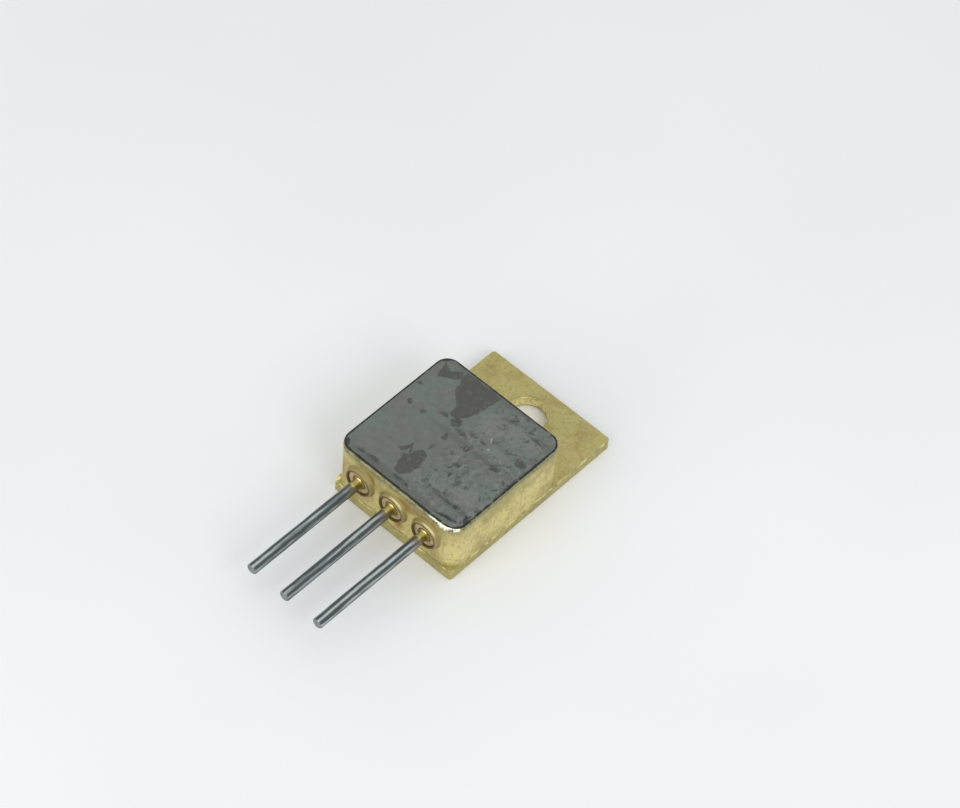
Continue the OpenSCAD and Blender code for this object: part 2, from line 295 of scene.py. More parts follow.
class Finish(NodeTree):
    """Material made of nodes, with places on the surface in millimetres."""

    def __init__(self, name, **constants):
        self.material = bpy.data.materials.new(name)
        self.material.use_nodes = True
        super().__init__(self.material.node_tree)
        self.shader = self.node("ShaderNodeBsdfPrincipled", {}, constants)
        self.show(self.shader)
        raw = self.node("ShaderNodeTexCoord", {}, {}, "Object")
        self.place = self.vector("SCALE", raw, Scale=PER_METRE)
        self.x = self.node("ShaderNodeSeparateXYZ", {}, {0: self.place}, "X")
        self.y = self.x.output("Y")
        self.z = self.x.output("Z")

    def show(self, shader):
        """Makes a shader the one that the surface shows."""
        self.node("ShaderNodeOutputMaterial", {}, {"Surface": shader}, None)

    def vector(self, operation, *values, **named):
        sockets = dict(enumerate(values))
        sockets.update(named)
        return self.node("ShaderNodeVectorMath", {"operation": operation}, sockets)

    def noise(self, scale, detail=3.0, roughness=0.5, shift=0.0, place=None, stretch=None):
        """Noise from 0 to 1 with about `scale` features per millimetre."""
        place = place or self.place
        if stretch:
            place = self.vector("MULTIPLY", place, stretch)
        if shift:
            place = self.vector("ADD", place, (shift, shift * 0.7, -shift))
        return self.node("ShaderNodeTexNoise", {}, {
            "Vector": place, "Scale": scale, "Detail": detail, "Roughness": roughness})

    def ease(self, value, low, high):
        """0 below `low`, 1 above `high`, and smooth between them."""
        return self.node("ShaderNodeMapRange", {"interpolation_type": "SMOOTHSTEP"}, {
            "Value": value, "From Min": low, "From Max": high})

    def blend(self, first, second, share):
        """Colour that goes from the first to the second as share goes from 0 to 1."""
        settings = {"data_type": "RGBA", "clamp_factor": True}
        return self.node("ShaderNodeMix", settings, {0: share, 6: first, 7: second}, 2)

    def warped(self, place, scale, amount, shift=0.0):
        """A place moved to and fro by noise, which makes outlines ragged."""
        swirl = self.noise(scale, 3.0, 0.55, shift, place).output("Color")
        centred = self.vector("SUBTRACT", swirl, (0.5, 0.5, 0.5))
        moved = self.vector("SCALE", centred, Scale=amount)
        return self.vector("ADD", place, moved)

    def on_plane(self, across, up):
        """Place in a plane, from two of the three coordinates."""
        return self.node("ShaderNodeCombineXYZ", {}, {0: across, 1: up})

    def ovals(self, place, marks, soft):
        """Union of oval marks. Each has its centre, half widths and turn in degrees."""
        union = None
        for across, up, half_width, half_height, turn in marks:
            inner = self.node("ShaderNodeMapping", {"vector_type": "TEXTURE"}, {
                "Vector": place, "Location": (across, up, 0.0),
                "Rotation": (0.0, 0.0, math.radians(turn)),
                "Scale": (half_width, half_height, 1.0)})
            reach = self.node(
                "ShaderNodeVectorMath", {"operation": "LENGTH"}, {0: inner}, "Value")
            depth = (1.0 - reach) * min(half_width, half_height)
            union = depth if union is None else union.most(depth)
        return self.ease(union, -soft, soft)

    def polygons(self, place, shapes, soft):
        """Union of convex shapes, each a ring of corners that runs anticlockwise."""
        level = self.vector("ADD", self.vector("MULTIPLY", place, (1.0, 1.0, 0.0)), (0.0, 0.0, 1.0))
        union = None
        for shape in shapes:
            depth = None
            for first, second in zip(shape, shape[1:] + shape[:1]):
                along = (Vector(second) - Vector(first)).normalized()
                offset = first[0] * along.y - first[1] * along.x
                side = self.node("ShaderNodeVectorMath", {"operation": "DOT_PRODUCT"}, {
                    0: level, 1: (-along.y, along.x, offset)}, "Value")
                depth = side if depth is None else depth.least(side)
            union = depth if union is None else union.most(depth)
        return self.ease(union, -soft, soft)

    def from_outline(self, low, high, radius):
        """Distance outside a rectangle with round corners, negative inside it."""
        middle = (low + high) / 2
        over_x = (abs(self.x - middle.x) - (high.x - middle.x - radius)).most(0.0)
        over_y = (abs(self.y - middle.y) - (high.y - middle.y - radius)).most(0.0)
        return (over_x ** 2.0 + over_y ** 2.0) ** 0.5 - radius

    def scratches(self, place, turn, scale, thin, shift):
        """Fine lines along one direction, broken up along their length."""
        turned = self.node("ShaderNodeMapping", {"vector_type": "TEXTURE"}, {
            "Vector": place, "Rotation": (0.0, 0.0, math.radians(turn))})
        lines = self.noise(scale, 2.0, 0.5, shift, turned, (0.12, 2.4, 1.0))
        breaks = self.noise(scale * 0.25, 2.0, 0.5, shift + 4.0, turned)
        ridge = 1.0 - abs(lines - 0.5) * thin
        return ridge.most(0.0) * self.ease(breaks, 0.5, 0.62)

    def dress(self, shade, rough, bump=None, depth=0.01, metal=None):
        """Links the colour, the roughness, the bump and the metal share."""
        entry = self.shader.socket.node.inputs
        for name, value in (("Base Color", shade), ("Roughness", rough), ("Metallic", metal)):
            if isinstance(value, Wire):
                self.tree.links.new(value.socket, entry[name])
            elif value is not None:
                entry[name].default_value = self.fitted(entry[name], value)
        if bump is not None:
            normal = self.node("ShaderNodeBump", {}, {
                "Strength": 1.0, "Distance": depth * MM, "Height": bump})
            self.tree.links.new(normal.socket, entry["Normal"])
        return self.material


def round_rect(left, front, right, rear, radius, inset=0.0, corner_steps=12, side_steps=1):
    """Points round a rectangle with round corners, from its front right corner."""
    left, right = left + inset, right - inset
    front, rear = front + inset, rear - inset
    radius = max(radius - inset, 0.001)
    centres = ((right - radius, front + radius, -90), (right - radius, rear - radius, 0),
               (left + radius, rear - radius, 90), (left + radius, front + radius, 180))
    arcs = []
    for middle_x, middle_y, start in centres:
        turns = [math.radians(start + 90 * step / corner_steps)
                 for step in range(corner_steps + 1)]
        arcs.append([Vector((middle_x + radius * math.cos(turn),
                             middle_y + radius * math.sin(turn))) for turn in turns])
    points = []
    for number, arc in enumerate(arcs):
        points.extend(arc)
        following = arcs[(number + 1) % len(arcs)][0]
        for step in range(1, side_steps):
            points.append(arc[-1].lerp(following, step / side_steps))
    return points


def circle(radius, steps):
    """Points round the mounting hole's axis."""
    turns = [2 * math.pi * step / steps for step in range(steps)]
    return [Vector((radius * math.cos(turn), radius * math.sin(turn))) for turn in turns]


def rounding(radius, steps=4):
    """Inset and drop of the points of a rounded edge, from its side to its top."""
    turns = [math.pi / 2 * step / steps for step in range(steps + 1)]
    return [(radius * (1 - math.cos(turn)), radius * (1 - math.sin(turn))) for turn in turns]


def add_loop(mesh, points, height):
    """Adds a ring of corners at one height, in millimetres."""
    return [mesh.verts.new((point.x * MM, point.y * MM, height * MM)) for point in points]


def skin(mesh, loops, closed=False):
    """Joins each ring of corners to the next with four-sided faces."""
    pairs = list(zip(loops, loops[1:]))
    if closed:
        pairs.append((loops[-1], loops[0]))
    for lower, upper in pairs:
        count = len(lower)
        for spot in range(count):
            after = (spot + 1) % count
            mesh.faces.new((lower[spot], lower[after], upper[after], upper[spot]))


def fill_between(mesh, outer, inner):
    """Flat face between an outline and a hole in it."""
    edges = []
    for loop in (outer, inner):
        for first, second in zip(loop, loop[1:] + loop[:1]):
            edges.append(mesh.edges.get((first, second)) or mesh.edges.new((first, second)))
    bmesh.ops.triangle_fill(mesh, use_beauty=True, edges=edges)


def turned_loops(mesh, profile, axis_x, steps, wobble=None):
    """Rings of corners round a lead's axis, one for each radius and Y of a profile."""
    loops = []
    for radius, along in profile:
        loop = []
        for step in range(steps):
            turn = 2 * math.pi * step / steps
            reach = radius - (wobble(turn, along) if wobble else 0.0)
            loop.append(mesh.verts.new((
                (axis_x + reach * math.sin(turn)) * MM, along * MM,
                (LEAD_AXIS_Z + reach * math.cos(turn)) * MM)))
        loops.append(loop)
    return loops


def close_end(mesh, loop):
    """Flat face over a ring of corners."""
    mesh.faces.new(loop)


def evaluated(piece):
    """Replaces a piece's mesh by the result of its modifiers."""
    graph = bpy.context.evaluated_depsgraph_get()
    made = bpy.data.meshes.new_from_object(piece.evaluated_get(graph))
    piece.modifiers.clear()
    piece.data = made


def make_piece(name, mesh, material, replaced, sharp=35.0):
    """Turns a bmesh into a piece that stands for CAD nodes and rides on the body."""
    bmesh.ops.recalc_face_normals(mesh, faces=mesh.faces)
    data = bpy.data.meshes.new(name)
    mesh.to_mesh(data)
    mesh.free()
    piece = bpy.data.objects.new(name, data)
    bpy.context.scene.collection.objects.link(piece)
    data.materials.append(material)
    smooth(piece, sharp)
    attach(piece, "root")
    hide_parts(*replaced)
    return piece


def smooth(piece, sharp):
    """Smooth shading, with edges steeper than the angle kept sharp."""
    piece.data.shade_smooth()
    piece.data.set_sharp_from_angle(angle=math.radians(sharp))
    weights = piece.modifiers.new("Even shading", "WEIGHTED_NORMAL")
    weights.keep_sharp = True


def lead_x(number):
    """X of a lead's axis, in millimetres."""
    return (number - 2) * LEAD_PITCH


# Large dark blotches on the lid, as convex shapes whose corners run anticlockwise
LARGE_BLOTCHES = (
    ((-4.1, -3.7), (-3.95, -4.7), (-3.6, -5.7), (-2.9, -6.6), (-2.2, -7.0), (-0.65, -6.8),
     (-0.25, -5.4), (-0.2, -3.7)),
    ((-2.4, -6.5), (-2.3, -7.8), (-1.9, -8.2), (-1.25, -8.1), (-0.8, -7.3), (-0.55, -6.5)),
    ((-6.25, -4.2), (-5.7, -5.9), (-5.1, -5.5), (-4.9, -4.7)),
    ((-5.3, -4.65), (-5.15, -5.5), (-3.95, -4.65), (-3.9, -4.4), (-4.45, -3.85)),
    ((-1.25, -12.5), (-1.5, -13.3), (-1.9, -14.5), (-1.45, -15.7), (-0.7, -15.8), (-0.25, -14.9),
     (-0.1, -14.3), (-0.3, -13.1), (-0.6, -12.5)),
    ((-2.1, -13.8), (-1.75, -14.7), (-1.3, -14.0), (-1.5, -13.5)),
    ((-2.75, -13.75), (-2.3, -13.8), (-1.95, -12.9), (-2.2, -12.5)),
    ((-2.2, -12.5), (-2.0, -13.1), (-1.6, -13.6), (-1.55, -13.3)),
    ((5.05, -7.5), (5.3, -8.0), (5.9, -8.15), (6.3, -7.75), (6.2, -7.35), (5.5, -7.35)),
)
# Smaller marks on the lid: centre X and Y, half widths, and turn in degrees
SMALL_BLOTCHES = (
    (4.2, -4.65, 0.3, 0.14, 0), (5.4, -5.05, 0.8, 0.12, -5), (4.5, -9.65, 0.5, 0.2, 10),
    (-0.75, -10.1, 0.22, 0.42, 15), (-0.85, -11.7, 0.18, 0.4, 0), (2.0, -11.6, 0.32, 0.25, 20),
    (3.35, -13.0, 0.3, 0.38, 0), (1.2, -14.65, 0.22, 0.36, -25), (2.25, -12.8, 0.16, 0.32, 0),
    (-5.5, -9.5, 0.28, 0.22, 0), (-3.9, -9.5, 0.22, 0.28, 0), (2.35, -4.75, 0.5, 0.28, 50),
    (4.5, -14.95, 1.5, 0.12, 0), (5.25, -16.15, 0.85, 0.18, 8), (4.5, -7.5, 0.5, 0.13, 38),
    (-1.1, -8.35, 0.5, 0.5, 0), (-3.3, -16.1, 0.7, 0.22, 0), (-0.6, -16.1, 0.5, 0.2, 0),
    (0.3, -16.1, 0.28, 0.15, 0), (-2.4, -8.4, 0.5, 0.2, 0), (1.9, -8.3, 0.4, 0.2, 0),
    (-0.15, -8.85, 0.55, 0.25, 0), (0.75, -8.25, 0.4, 0.2, -10), (5.3, -9.3, 0.5, 0.12, 15),
    (6.2, -10.7, 0.3, 0.06, -10), (2.6, -14.8, 0.3, 0.14, 0), (1.8, -14.9, 0.14, 0.25, 0),
    (-6.2, -7.4, 0.25, 0.2, 0), (-4.7, -16.2, 0.4, 0.16, 0), (1.4, -9.8, 0.25, 0.3, 20),
)
RUBBED_PATCHES = (
    (1.2, -6.4, 1.1, 1.4, 20), (3.6, -5.9, 0.9, 1.0, -30), (3.4, -8.4, 1.3, 0.4, 5),
    (5.3, -5.7, 0.8, 0.7, 0), (4.8, -13.4, 1.6, 0.8, 10),
)
SHADED_BANDS = (
    (-1.0, -3.6, 5.0, 0.5, 0), (-1.0, -16.45, 5.2, 0.5, 0), (2.2, -9.6, 4.4, 0.3, 0),
    (4.6, -15.0, 2.0, 0.3, 0), (6.0, -4.8, 1.2, 0.3, 0),
)
BRIGHT_SPECKS = ((2.3, -7.6, 0.08, 0.24, 20), (2.8, -8.5, 0.09, 0.09, 0))
BROWN_ZONES = ((-3.2, -13.6, 1.9, 2.9, 0), (0.4, -12.0, 0.9, 2.2, 0), (3.4, -10.3, 2.2, 0.6, 0))
CORNER_SPOTS = (
    (-6.45, -4.1, 0.2, 0.6, -45), (-6.15, -16.45, 0.5, 0.26, -42), (6.6, -10.0, 0.1, 1.6, 0),
    (4.9, -16.25, 0.9, 0.14, 10), (-6.65, -15.4, 0.1, 0.6, 0),
)
CORNER_PATCH = (((6.15, -14.95), (6.7, -16.1), (6.85, -15.6), (6.8, -14.5)),)
# Painted highlight on the solder at the lid's front right corner
CORNER_SOLDER_HIGHLIGHT = ((4.5, -16.97, 0.6, 0.05, 0), (5.4, -16.98, 0.45, 0.1, 3),
                 (5.98, -16.8, 0.3, 0.1, 32), (6.45, -16.4, 0.32, 0.2, 45))
# Orange stains on the front wall, in X and Z
WALL_STAINS = ((1.2, 5.2, 1.0, 0.6, 0), (2.9, 5.5, 1.3, 0.35, 0), (4.4, 5.1, 0.5, 0.7, 0),
               (-2.7, 5.0, 0.5, 0.8, 0), (0.6, 2.2, 0.5, 0.7, 0), (-6.0, 3.6, 0.3, 1.2, 0))


def plate_finish(name, sizes, base, is_wall):
    """Satin gold plate with soft patches, stains, fine grain and a few scratches."""
    finish = Finish(name, Specular_IOR_Level=0.5)
    broad = finish.noise(0.45, 3.0, 0.55, 3.1)
    patches = finish.noise(1.3, 4.0, 0.6, 8.4)
    grain = finish.noise(9.0, 3.0, 0.6, 1.7)
    shade = finish.blend(base, sizes.olive_gold, finish.ease(broad, 0.42, 0.66) * 0.6)
    shade = finish.blend(shade, sizes.pale_gold, finish.ease(patches, 0.5, 0.72) * 0.6)
    shade = finish.blend(shade, sizes.stain, finish.ease(patches, 0.46, 0.3) * 0.45)
    shade = finish.blend(shade, sizes.olive_gold, finish.ease(grain, 0.5, 0.72) * 0.3)
    mottle = finish.noise(3.2, 4.0, 0.68, 15.0, stretch=(1.0, 1.0, 0.8))
    shade = finish.blend(shade, sizes.olive_gold, finish.ease(mottle, 0.51, 0.62) * 0.55)
    shade = finish.blend(shade, sizes.pale_gold, finish.ease(mottle, 0.46, 0.36) * 0.5)
    if is_wall:
        plane = finish.warped(finish.on_plane(finish.x, finish.z), 1.4, 0.7)
        front = finish.ease(finish.y, FRAME_LOW.y + 0.4, FRAME_LOW.y + 0.2)
        stains = finish.ovals(plane, WALL_STAINS, 0.3) * front
        shade = finish.blend(shade, sizes.stain, stains * (0.55 + mottle * 0.9))
        shade = finish.blend(shade, sizes.olive_gold, finish.ease(finish.z + broad, 3.6, 6.6) * 0.4)
        creep = finish.z + finish.noise(1.6, 3.0, 0.6, 5.0) * 0.9
        shade = finish.blend(shade, sizes.film, finish.ease(creep, 5.9, 6.6) * 0.75)
    else:
        # Painted highlight along the base's top edges, broken by darker patches
        patchy = finish.blend(sizes.gold_highlight, sizes.olive_gold, finish.ease(patches, 0.35, 0.6))
        outward = finish.from_outline(BASE_LOW, BASE_HIGH, sizes.base_corner * PER_METRE)
        edge = finish.ease(outward, -0.1, -0.03)
        shade = finish.blend(shade, patchy, edge * finish.ease(finish.z, 0.7, 1.0) * 0.6)
        # Painted highlight on the base's front left corner
        plane = finish.warped(finish.on_plane(finish.x, finish.y), 2.5, 0.2)
        corner_highlight = finish.ovals(plane, ((-6.72, -16.85, 0.22, 0.36, -15),), 0.06)
        shade = finish.blend(shade, sizes.gold_highlight, corner_highlight)
        from_hole = (finish.x ** 2.0 + finish.y ** 2.0) ** 0.5
        hole = sizes.hole_radius * PER_METRE
        wall = finish.ease(from_hole, hole + 0.05, hole + 0.02)
        # Painted light on the mounting hole's wall, in patches
        shade = finish.blend(shade, sizes.gold_highlight, wall * finish.ease(mottle, 0.75, 0.4))
        # Darker towards the bottom of the hole's wall
        low = finish.ease(finish.z + (patches - 0.5) * 0.15, 0.16, 0.06)
        shade = finish.blend(shade, sizes.rim_brown, (wall * low) * 0.9)
        ring = finish.ease(abs(from_hole + (mottle - 0.5) * 0.1 - hole - 0.09), 0.05, 0.0)
        shade = finish.blend(shade, sizes.rim_brown, ring * finish.ease(patches, 0.4, 0.6) * 0.6)
    lines = finish.scratches(finish.place, 24.0, 3.0, 26.0, 2.0)
    shade = finish.blend(shade, sizes.pale_gold, lines * 0.35)
    rough = 0.34 + patches * 0.16 + grain * 0.08
    height = grain * 0.5 + broad * 2.0 - lines * 0.4
    return finish.dress(shade, rough, height, 0.012, 0.4 if is_wall else 0.45)


def lid_finish(sizes):
    """Dull grey plate with dark blotches, rubbed patches and a dark edge line."""
    finish = Finish("lid plate", Specular_IOR_Level=0.5)
    plane = finish.on_plane(finish.x, finish.y)
    ragged = finish.warped(plane, 1.5, 0.55, 2.0)
    ragged = finish.warped(ragged, 5.0, 0.3, 7.0)
    broad = finish.noise(0.5, 4.0, 0.6, 1.0, ragged)
    patches = finish.noise(1.7, 4.0, 0.62, 6.0, ragged)
    grain = finish.noise(14.0, 2.0, 0.6, 9.0)
    scuffs = finish.noise(1.9, 4.0, 0.62, 12.0, finish.warped(plane, 1.6, 0.9, 9.0))
    torn = finish.warped(finish.warped(plane, 1.8, 0.6, 4.0), 6.0, 0.28, 3.0)
    shade = finish.blend(sizes.grey, sizes.brown_grey, finish.ease(broad, 0.45, 0.62) * 0.8)
    shade = finish.blend(shade, sizes.brown_grey, finish.ovals(ragged, BROWN_ZONES, 0.5) * 0.6)
    right = finish.ease(finish.x, -0.8, 1.4)
    rubbed = finish.ovals(ragged, RUBBED_PATCHES, 0.4)
    wisps = finish.ease(patches, 0.5, 0.66) * (0.3 + right * 0.5)
    shade = finish.blend(shade, sizes.light_grey, (rubbed * 0.6).most(wisps) * 0.85)
    patchy = finish.ease(patches, 0.47, 0.3) * (0.15 + right * 0.3)
    bands = finish.ovals(ragged, SHADED_BANDS, 0.3) * (0.25 + patches * 0.5)
    small = finish.ovals(torn, SMALL_BLOTCHES, 0.09)
    shade = finish.blend(shade, sizes.blotch, patchy.most(bands))
    shade = finish.blend(shade, sizes.line, small * (0.3 + finish.ease(patches, 0.3, 0.6) * 0.4))
    large = finish.polygons(ragged, LARGE_BLOTCHES, 0.06)
    shade = finish.blend(shade, sizes.blotch, large)
    specks = finish.ovals(ragged, BRIGHT_SPECKS, 0.05)
    shade = finish.blend(shade, (0.42, 0.43, 0.41), specks * 0.7)
    outward = finish.from_outline(LID_LOW, LID_HIGH, sizes.corner * PER_METRE)
    rim = finish.ease(outward + (patches - 0.5) * 0.14 + (scuffs - 0.5) * 0.16, -0.22, -0.12)
    spots = finish.ovals(ragged, CORNER_SPOTS, 0.08).most(finish.polygons(ragged, CORNER_PATCH, 0.05))
    shade = finish.blend(shade, sizes.line, rim.most(spots * 0.9))
    lines = finish.scratches(plane, -8.0, 3.2, 24.0, 3.0) * (0.3 + right * 0.7)
    shade = finish.blend(shade, sizes.light_grey, lines * 0.4)
    shade = finish.blend(shade, sizes.line, finish.ease(grain, 0.5, 0.75) * 0.14)
    shade = finish.blend(shade, sizes.line, finish.ease(scuffs, 0.56, 0.66) * (0.12 + right * 0.45))
    shade = finish.blend(shade, sizes.light_grey, finish.ease(scuffs, 0.44, 0.34) * (0.2 + right * 0.5))
    rough = 0.5 - large * 0.08 + patches * 0.12 + rim * 0.25
    height = patches * (0.6 + right * 1.6) + grain * 0.25 - large * 0.25
    return finish.dress(shade, rough, height, 0.03, 0.25)


def bead_finish(sizes):
    """Mottled solder with fine bright spots, and a painted highlight at the front right corner."""
    finish = Finish("lid solder", Specular_IOR_Level=0.6)
    mottle = finish.noise(2.6, 4.0, 0.65, 2.0)
    fine = finish.noise(4.5, 3.0, 0.6, 5.0)
    shade = finish.blend(sizes.solder, sizes.dull_solder, finish.ease(mottle, 0.42, 0.62) * 0.8)
    shade = finish.blend(shade, sizes.bright_solder_and_highlight, finish.ease(fine, 0.58, 0.75) * 0.3)
    plane = finish.warped(finish.on_plane(finish.x, finish.y), 5.0, 0.2)
    # Painted highlight at the front right corner, in broken pieces
    corner = finish.ovals(plane, CORNER_SOLDER_HIGHLIGHT, 0.03) * finish.ease(mottle, 0.36, 0.42)
    shade = finish.blend(shade, sizes.bright_solder_and_highlight, corner)
    return finish.dress(shade, 0.5 - corner * 0.2 + fine * 0.1, fine + mottle, 0.03, 0.3)


def from_lead_axis(finish):
    """Distance from the nearest lead's axis, and the turn round it from straight up."""
    nearest = (finish.x / LEAD_PITCH).maths("ROUND", finish.x / LEAD_PITCH) * LEAD_PITCH
    across = finish.x - nearest
    up = finish.z - LEAD_AXIS_Z
    reach = (across ** 2.0 + up ** 2.0) ** 0.5
    return reach, across.maths("ARCTAN2", across, up)


def eyelet_finish(sizes):
    """Gold plate with painted shade in dark brown on the lip's inner slope, and a painted highlight on
    the crest of the lips of leads 2 and 3.
    """
    finish = Finish("eyelet plate", Specular_IOR_Level=0.5)
    reach, turn = from_lead_axis(finish)
    mottle = finish.noise(2.4, 4.0, 0.6, 4.0)
    fine = finish.noise(10.0, 3.0, 0.6, 2.0)
    shade = finish.blend(sizes.gold, (0.24, 0.19, 0.06), finish.ease(mottle, 0.45, 0.7) * 0.4)
    side = finish.ease(reach + (fine - 0.5) * 0.06, 1.47, 1.53)
    shade = finish.blend(shade, sizes.outside, side * (0.45 + mottle * 0.9))
    # Painted highlight: a bright crescent on the upper right of the lip's crest, on the lips of leads 2
    # and 3
    crest_highlight = finish.ease(abs(reach - 1.46), 0.06, 0.02) * finish.ease(abs(turn - 0.35), 0.7, 0.25)
    shade = finish.blend(shade, sizes.lip_highlight, crest_highlight * finish.ease(finish.x, -2.5, -1.0) * 0.6)
    # Painted shade in dark brown on the lip's inner slope
    inner = finish.ease(reach + (mottle - 0.5) * 0.14, 1.39, 1.3)
    shade = finish.blend(shade, sizes.groove_shade, inner * (1.15 - finish.ease(mottle, 0.45, 0.7) * 0.45))
    rough = 0.42 + fine * 0.15 + inner * 0.15
    return finish.dress(shade, rough, fine + mottle * 1.5, 0.02, 0.25)


def ceramic_finish(sizes):
    """Matt pinkish ceramic, darker in patches and towards the ring and the lead."""
    finish = Finish("seal ceramic", Specular_IOR_Level=0.4)
    reach, turn = from_lead_axis(finish)
    mottle = finish.noise(3.0, 4.0, 0.6, 4.0)
    fine = finish.noise(16.0, 2.0, 0.6, 2.0)
    # Darker towards the ring and the lead
    edges = finish.ease(abs(reach - 0.92) + (mottle - 0.5) * 0.1, 0.14, 0.28)
    shade = finish.blend(sizes.ceramic, sizes.ceramic_dark, edges * 0.45)
    shade = finish.blend(shade, sizes.ceramic_dark, finish.ease(mottle, 0.46, 0.62) * 0.6)
    return finish.dress(shade, 0.62 + fine * 0.15, fine, 0.01, 0.0)


def lead_finish(sizes):
    """Gold root with a painted highlight on top, a brownish change, then solder with painted reflections
    in streaks along the lead.
    """
    finish = Finish("dipped lead", Specular_IOR_Level=0.5)
    reach, turn = from_lead_axis(finish)
    drift = finish.noise(0.22, 2.0, 0.5, 3.0)
    mottle = finish.noise(2.2, 4.0, 0.6, 7.0, stretch=(1.0, 0.3, 1.0))
    fine = finish.noise(11.0, 3.0, 0.6, 1.0)
    lines = finish.noise(4.0, 2.0, 0.5, 9.0, stretch=(1.0, 0.07, 1.0))
    # Painted reflections: light and dark streaks by the turn round the lead, broken by flow lines
    reflection_wave = turn.maths("COSINE", (turn - math.radians(39.0) + (drift - 0.5) * 0.7) * 6.0)
    light = finish.ease(reflection_wave * -1.0 + (mottle - 0.5) * 2.4, -0.6, 0.9)
    light = light * (1.0 - finish.ease(lines, 0.5, 0.6) * 0.65)
    tip = finish.ease(finish.y, LEAD_LOW.y + 0.08, LEAD_LOW.y + 0.03)
    light = light * (1.0 - tip) + tip * mottle
    shade = finish.blend(sizes.dark, sizes.light, light)
    shade = finish.blend(shade, sizes.dark, finish.ease(fine, 0.55, 0.75) * 0.25)
    ragged = finish.y + (mottle - 0.5) * 0.5
    change = finish.ease(ragged, -19.4, -18.3)
    shade = finish.blend(shade, sizes.change, change * 0.75)
    root = finish.ease(ragged, -18.3, -18.05)
    # Painted highlight along the top of the gold root, with painted shade in deep gold on its sides; the
    # fillet keeps the deep gold
    top_highlight = finish.ease(abs(turn + 0.05 + (fine - 0.5) * 0.5), 0.75, 0.3)
    gold = finish.blend(sizes.deep_gold, sizes.gold, top_highlight * finish.ease(reach, 0.58, 0.52))
    shade = finish.blend(shade, gold, root)
    rough = 0.34 + mottle * 0.14 - root * 0.08
    return finish.dress(shade, rough, mottle * 1.5 + fine * 0.4, 0.012, 0.65)


def plain_finish(name, base, second, scale, rough, metal, depth=0.008, stretch=None):
    """Finish of a sealed piece: two shades in soft patches, with a fine grain."""
    finish = Finish(name, Specular_IOR_Level=0.5)
    patches = finish.noise(scale, 4.0, 0.6, 2.0, stretch=stretch)
    grain = finish.noise(scale * 9.0, 2.0, 0.6, 6.0, stretch=stretch)
    shade = finish.blend(base, second, finish.ease(patches, 0.4, 0.68))
    return finish.dress(shade, rough + grain * 0.12, patches + grain * 0.3, depth, metal)


def silicon_finish(sizes):
    """Chip face: a grid of metal cells inside a dark border."""
    finish = Finish("chip silicon", Specular_IOR_Level=0.6)
    low, high = node_box("die")
    middle = (low + high) / 2
    inside_x = (high.x - middle.x) - abs(finish.x - middle.x)
    inside_y = (high.y - middle.y) - abs(finish.y - middle.y)
    border = finish.ease(inside_x.least(inside_y), 0.2, 0.26)
    wave = finish.x.maths("SINE", finish.x * 26.0) * finish.y.maths("SINE", finish.y * 26.0)
    cells = finish.ease(wave, -0.1, 0.25) * 0.35 + 0.55
    top = finish.ease(finish.z, high.z - 0.03, high.z - 0.01)
    shade = finish.blend(sizes.silicon, sizes.cells, border * cells * top)
    return finish.dress(shade, 0.28 + cells * 0.1, wave, 0.002, 0.4)


class TRANSISTOR_OT_base_plate(bpy.types.Operator):
    """Build the gold-plated base plate with rounded edges and its mounting hole"""

    bl_idname = "transistor.base_plate"
    bl_label = "Base plate"

    def execute(self, context):
        sizes = context.scene.transistor_plate
        edge = sizes.base_edge * PER_METRE
        corner = sizes.base_corner * PER_METRE
        hole = sizes.hole_radius * PER_METRE
        lip = sizes.hole_edge * PER_METRE
        mesh = bmesh.new()
        outline = (BASE_LOW.x, BASE_LOW.y, BASE_HIGH.x, BASE_HIGH.y, corner)
        outside = [(inset, BASE_LOW.z + drop) for inset, drop in reversed(rounding(edge))]
        outside += [(inset, BASE_HIGH.z - edge + (edge - drop)) for inset, drop in rounding(edge)]
        outer = [add_loop(mesh, round_rect(*outline, inset), height)
                 for inset, height in outside]
        bore = [(inset, BASE_LOW.z + drop) for inset, drop in reversed(rounding(lip))]
        bore += [(inset, BASE_HIGH.z - drop) for inset, drop in rounding(lip)]
        inner = [add_loop(mesh, circle(hole + inset, 72), height) for inset, height in bore]
        skin(mesh, outer)
        skin(mesh, inner)
        fill_between(mesh, outer[0], inner[0])
        fill_between(mesh, outer[-1], inner[-1])
        material = plate_finish("base gold", sizes, sizes.tab_gold, False)
        make_piece("plated_base", mesh, material, ["base_plate"])
        return {"FINISHED"}


